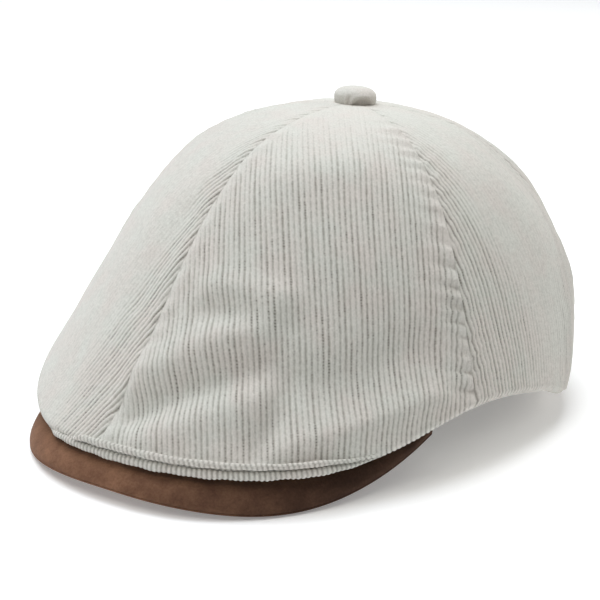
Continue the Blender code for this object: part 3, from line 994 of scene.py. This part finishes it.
def button(cloth):
    columns = 160
    turn = np.linspace(0, 2 * pi, columns, endpoint=False)
    rise = np.radians(np.concatenate([np.linspace(-86, 20, 34), np.linspace(24, 89, 24)]))
    rows, wales = [], []
    for tip in rise:
        reach = BUTTON_RADIUS * cos(tip) ** (2 / (2.7 if tip > 0 else 7.0))
        half = BUTTON_TOP - BUTTON_MIDDLE if tip > 0 else BUTTON_MIDDLE - BUTTON_FOOT
        height = BUTTON_MIDDLE + half * np.sign(tip) * abs(sin(tip)) ** (2 / 2.3)
        pull = button_folds(turn, height + 0 * turn, max(reach, MM))
        x, y = reach * np.sin(turn), -reach * np.cos(turn)
        wale = 0.94 + 0.06 * wale_profile((x + 0.5 * y) / (1.12 * WALE_PITCH))
        out = reach + (pull - 0.22 * MM * (1 - wale)) * cos(tip)
        lift = (pull * 0.3 - 0.22 * MM * (1 - wale)) * sin(tip)
        rows.append(np.stack([out * np.sin(turn), -out * np.cos(turn), height + lift], -1))
        wales.append(wale)
    points = np.concatenate(rows + [np.array([[0, 0, BUTTON_TOP]])])
    faces = grid_faces(len(rows), columns, closed=True)
    last = (len(rows) - 1) * columns
    faces += [(last + k, len(points) - 1, last + (k + 1) % columns) for k in range(columns)]
    wales = np.append(np.concatenate(wales), 1.0)
    mesh = new_mesh("button_cloth", points, faces, {"wale": wales})
    mesh.flip_normals()
    add_piece("button_cloth", mesh, cloth, "button_cover")


# --- Inside: satin, sweatband, and the hard pieces -----------------------------------------------


def lining(satin_cloth):
    """Six satin panels that follow the crown from below, gathered a little at their seams."""
    rows, columns = 90, 70
    along = np.linspace(0.03, 0.95, rows)
    for name, start, end, *_ in GORES:
        angle = np.radians(np.linspace(start, end, columns))
        turn, down = [grid.ravel() for grid in np.meshgrid(angle, along)]
        base = skin(turn, down)
        share = np.tile(np.linspace(0, 1, columns), rows)
        from_seam = np.minimum(share, 1 - share) * radians(end - start) * 90 * MM * down
        gather = 0.5 * MM * np.sin(down * 95 + 2 * np.sin(down * 21)) * np.exp(-from_seam / (5 * MM))
        sag = 0.9 * MM * bump(from_seam, 0, 1.5 * MM) + gather + 0.5 * MM
        lift = slack(base, down) - SATIN_BELOW - sag * smooth_step(down, 0.03, 0.15)
        points = base + outward_normal(turn, down) * lift[:, None]
        mesh = new_mesh(f"lining_{name}_satin", points, grid_faces(rows, columns))
        add_piece(f"lining_{name}_satin", mesh, satin_cloth, f"lining_{name}")


BAND_COLUMNS = 360
# Millimetres: the folded band in section, as distance outside its inner face and height above its
# edge: the lower edge, a stitched groove, the inner face, the top fold and the outer face.
BAND_SECTION = (
    (0.9, 0.3), (0.3, 0.4), (0.0, 1.0), (0.05, 3.2), (0.35, 3.7), (0.05, 4.2),
    (0, 8), (0, 13), (0, 18), (0, 23), (0.02, 27), (0.1, 29.2), (0.45, 29.9),
    (0.95, 29.9), (1.3, 29.2), (1.38, 26), (1.38, 16), (1.38, 6), (1.35, 1.0), (0.9, 0.3),
)
BAND_STITCHES = 190


def band_ring(angle, outside, above):
    """Points of the band's ring at this distance outside its inner face and above its edge."""
    x = (HEAD_HALF_WIDTH + outside) * np.sin(angle)
    y = HEAD_CENTRE_Y - (HEAD_HALF_LENGTH + outside) * np.cos(angle)
    return np.stack([x, y, opening_height(angle) + above], -1)


def sweatband(cloth, yarn):
    """A folded band: up its inner face, over the top fold and down the outer one."""
    angle = np.linspace(0, 2 * pi, BAND_COLUMNS, endpoint=False)
    rows = []
    for out, above in BAND_SECTION:
        ripple = 0.18 * MM * np.sin(angle * 46 + 3 * np.sin(angle * 5)) * (1 - min(1, above / 14))
        slow = 0.25 * MM * np.sin(angle * 9 + above / 9)
        rows.append(band_ring(angle, out * MM + (ripple + slow) * min(1, above / 3), above * MM))
    points = np.concatenate(rows)
    mesh = new_mesh("sweatband_cloth", points, grid_faces(len(rows), BAND_COLUMNS, closed=True))
    mesh.flip_normals()
    add_piece("sweatband_cloth", mesh, cloth, "sweatband")
    step = 2 * pi / BAND_STITCHES
    starts = np.arange(BAND_STITCHES) * step
    paths = np.stack([band_ring(starts + step * k, 0.1 * MM, 3.7 * MM) for k in (0.1, 0.85)], 1)
    outs = unit((np.array([0, HEAD_CENTRE_Y, 0]) - paths[:, 0]) * np.array([1, 1, 0]))
    stitch_line("sweatband_stitches", paths, outs, 0.2 * MM, 0.2 * MM, yarn)


def finish_node(node, material):
    """Gives a carried-over node its finished material."""
    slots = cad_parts[node].data.materials
    slots.clear()
    slots.append(material)


# --- Camera, floor and light ---------------------------------------------------------------------

# Where the camera looks from and at, in the row's directions.
CAMERA_AZIMUTH = 33.2
CAMERA_ELEVATION = 16.3
CAMERA_DISTANCE = 720 * MM
CAMERA_TARGET = Vector((0, -15 * MM, 60 * MM))
CAMERA_ROLL = 1.1
CAMERA_LENS = 101.4
AIM_LEFT = 8.7 * MM
AIM_DOWN = 19 * MM


def camera():
    shift = Vector(TO_ROW[:3, 3])
    azimuth, elevation = radians(CAMERA_AZIMUTH), radians(CAMERA_ELEVATION)
    level = Vector((sin(azimuth), -cos(azimuth), 0))
    back = level * cos(elevation) + Vector((0, 0, sin(elevation)))
    right = Vector((cos(azimuth), sin(azimuth), 0))
    target = CAMERA_TARGET + shift
    place = target + back * CAMERA_DISTANCE
    aim = target - right * AIM_LEFT - back.cross(right) * AIM_DOWN
    data = bpy.data.cameras.new("camera")
    data.lens = CAMERA_LENS
    data.sensor_width = 36
    data.clip_start = 0.05
    made = bpy.data.objects.new("camera", data)
    bpy.context.scene.collection.objects.link(made)
    made.location = place
    made.rotation_mode = "QUATERNION"
    roll = Matrix.Rotation(radians(CAMERA_ROLL), 3, "Z").to_quaternion()
    made.rotation_quaternion = (aim - place).to_track_quat("-Z", "Y") @ roll
    bpy.context.scene.camera = made


def area_light(name, place, target, size, power, colour):
    data = bpy.data.lights.new(name, "AREA")
    data.shape = "DISK"
    data.size = size
    data.energy = power
    data.color = colour
    made = bpy.data.objects.new(name, data)
    bpy.context.scene.collection.objects.link(made)
    made.location = place
    made.rotation_mode = "QUATERNION"
    made.rotation_quaternion = (Vector(target) - Vector(place)).to_track_quat("-Z", "Y")


WORLD_STRENGTH = 0.02
FLOOR_GLOW = 0.23
# The overhead light's power; every other light has a half or a quarter of it. The light from above
# and from the left is cool, and the rest is warm.
KEY = 14
COOL = (0.96, 1.0, 1.05)
WARM = (1.02, 1.0, 0.95)
LIGHTS = (
    ("overhead", (-0.15, 0.25, 1.5), (0, 0, 0.05), 1.1, KEY, COOL),
    ("high_left", (-0.9, 0.0, 1.3), (0, 0, 0.05), 0.9, KEY / 2, COOL),
    ("high_front", (0.1, -0.8, 1.4), (0, 0, 0.05), 0.9, KEY / 2, WARM),
    ("right_back", (1.0, 1.3, 0.8), (0, 0, 0.06), 0.9, KEY / 2, WARM),
    ("left_back", (-1.2, 1.0, 0.9), (0, 0, 0.06), 0.9, KEY / 4, COOL),
    ("back", (0.3, 1.6, 0.9), (0, 0, 0.06), 0.9, KEY / 4, WARM),
    ("front_left", (-0.7, -1.5, 0.8), (0, 0, 0.06), 0.9, KEY / 4, COOL),
)


FLOOR_REACH = 6


def white_floor():
    mesh = bpy.data.meshes.new("floor")
    reach = FLOOR_REACH
    corners = [(-reach, -reach, 0), (reach, -reach, 0), (reach, reach, 0), (-reach, reach, 0)]
    mesh.from_pydata(corners, [], [(0, 1, 2, 3)])
    floor = bpy.data.objects.new("floor", mesh)
    bpy.context.scene.collection.objects.link(floor)
    paint = Finish("floor white", Roughness=1.0, Specular_IOR_Level=0.0)
    paint.feed("Base Color", (0.93, 0.93, 0.93))
    paint.feed("Emission Color", (1.0, 1.0, 1.0))
    paint.feed("Emission Strength", FLOOR_GLOW)
    mesh.materials.append(paint.material)


def studio():
    scene = bpy.context.scene
    scene.view_settings.view_transform = "Standard"
    world = bpy.data.worlds.new("studio")
    world.use_nodes = True
    world.node_tree.nodes["Background"].inputs["Color"].default_value = (1, 1, 1, 1)
    world.node_tree.nodes["Background"].inputs["Strength"].default_value = WORLD_STRENGTH
    scene.world = world
    white_floor()
    for light in LIGHTS:
        area_light(*light)


# --- Everything ---------------------------------------------------------------------------------


def main():
    ivory = corduroy()
    yarn = thread()
    brown = suede("brown suede", (0.272, 0.142, 0.083), (0.156, 0.076, 0.045))
    crown(ivory)
    hem_rolls(ivory)
    hem_stitches(yarn)
    visor_cover(brown)
    visor_underside(brown)
    button(ivory)
    lining(satin())
    sweatband(twill(), yarn)
    finish_node("visor_board", fibre_board())
    steel = tinned_steel()
    finish_node("button_core", steel)
    finish_node("button_washer", steel)
    camera()
    studio()


main()
